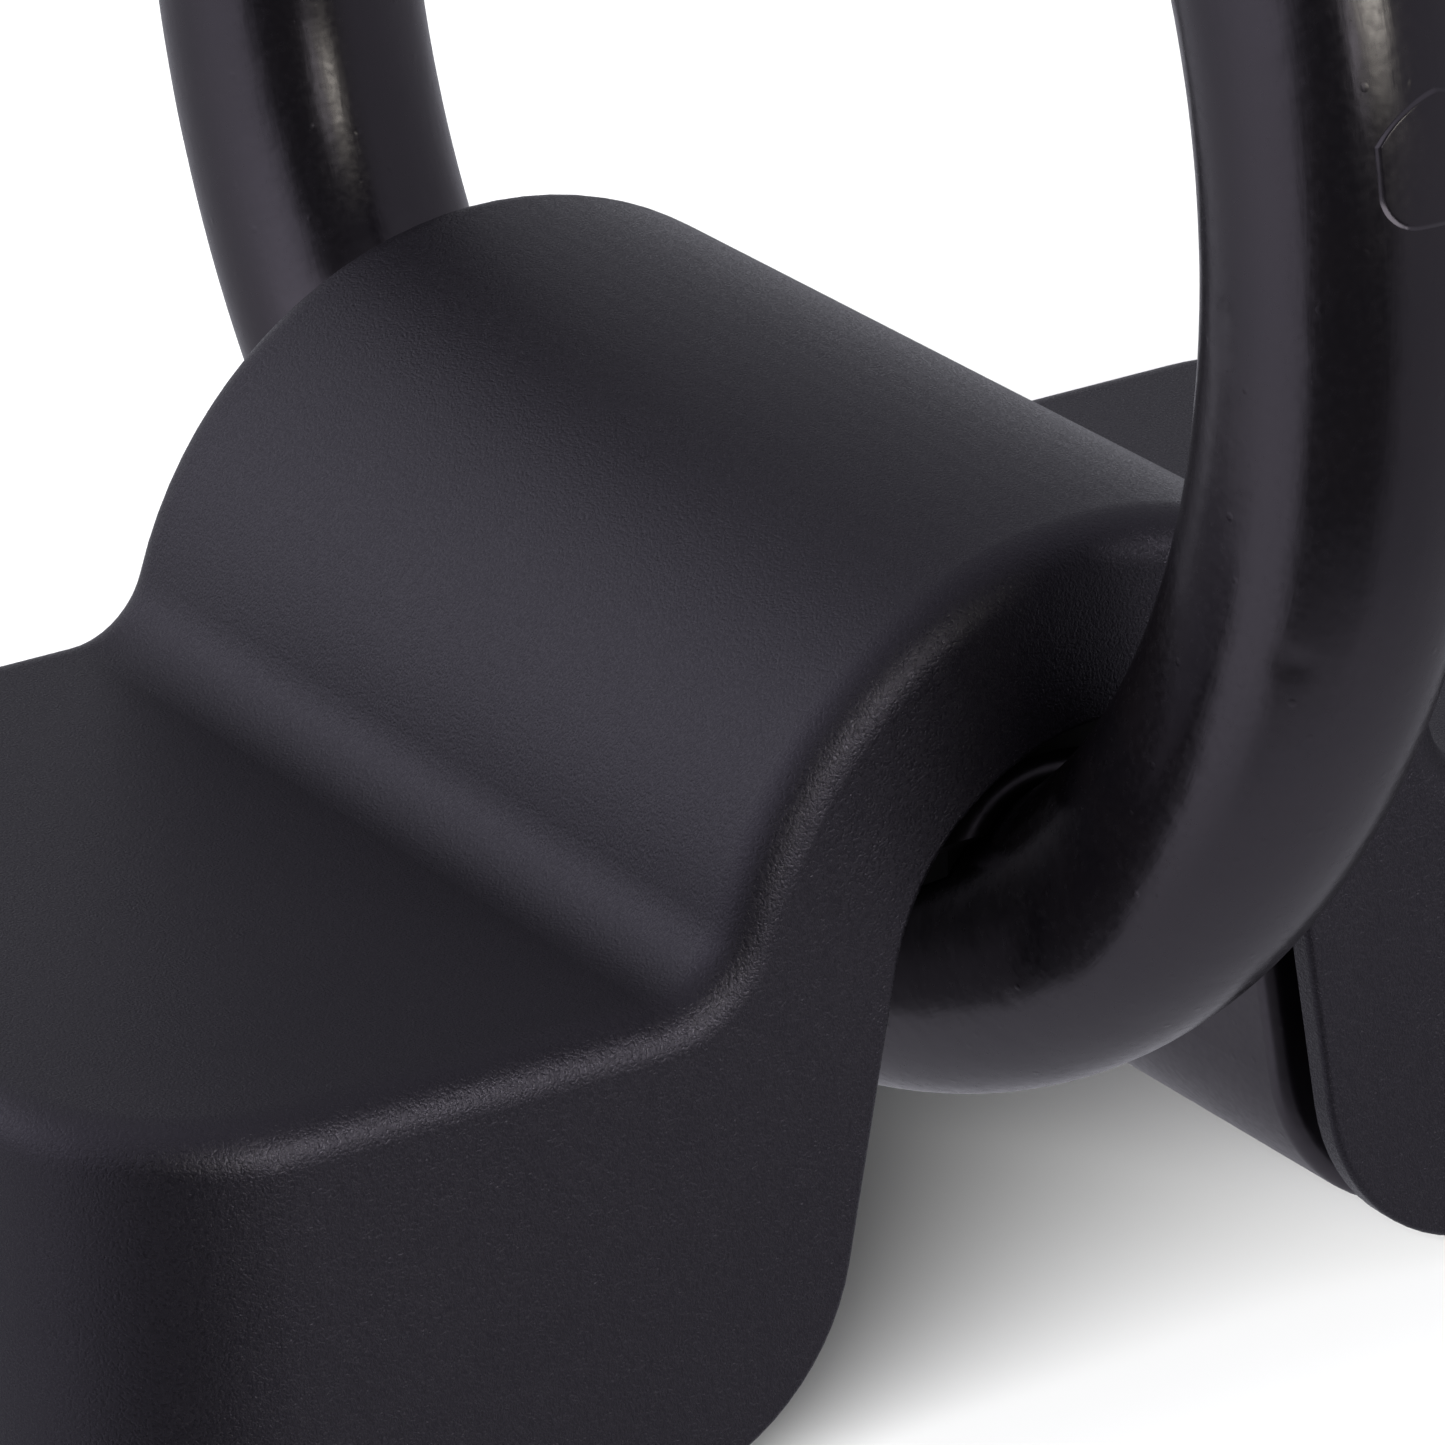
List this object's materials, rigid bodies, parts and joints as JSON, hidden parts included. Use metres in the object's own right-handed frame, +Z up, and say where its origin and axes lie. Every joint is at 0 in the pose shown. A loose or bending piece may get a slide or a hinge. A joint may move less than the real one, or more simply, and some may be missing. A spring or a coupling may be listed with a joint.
{
  "type": "kettlebell",
  "caption": "Kettlebell with a matte saddle-shaped body over an iron casting and a thick round ring handle through an arched tunnel.",
  "frame": {"origin": "on the floor, under the middle of the body", "axes": "+X along the tunnel and in the ring's plane, +Y along the body towards the rear wing, +Z up"},
  "size_m": [0.227, 0.242, 0.246],
  "materials": {
    "cover": "fine moulded grain",
    "casting": "gloss black enamel",
    "ring": "gloss black enamel",
    "seat": "dull black primer",
    "plates": "satin black",
    "screws": "dark zinc",
    "rubber": "matte"
  },
  "bodies": {
    "root": {"cover_shell": "cover", "core_casting": "casting", "ring_handle": "ring", "ring_closing_weld": "ring", "ring_seat": "seat", "seat_weld_front": "ring", "seat_weld_rear": "ring", "collar_weld_left": "ring", "collar_weld_right": "ring", "seat_bolt_left": "screws", "seat_bolt_right": "screws", "base_plate_front": "plates", "base_plate_rear": "plates", "base_screws_front": "screws", "base_screws_rear": "screws", "foot_front_left": "rubber", "foot_front_right": "rubber", "foot_rear_left": "rubber", "foot_rear_right": "rubber", "side_pad_front_left": "rubber", "side_pad_front_right": "rubber", "side_pad_rear_left": "rubber", "side_pad_rear_right": "rubber"}
  },
  "joints": []
}
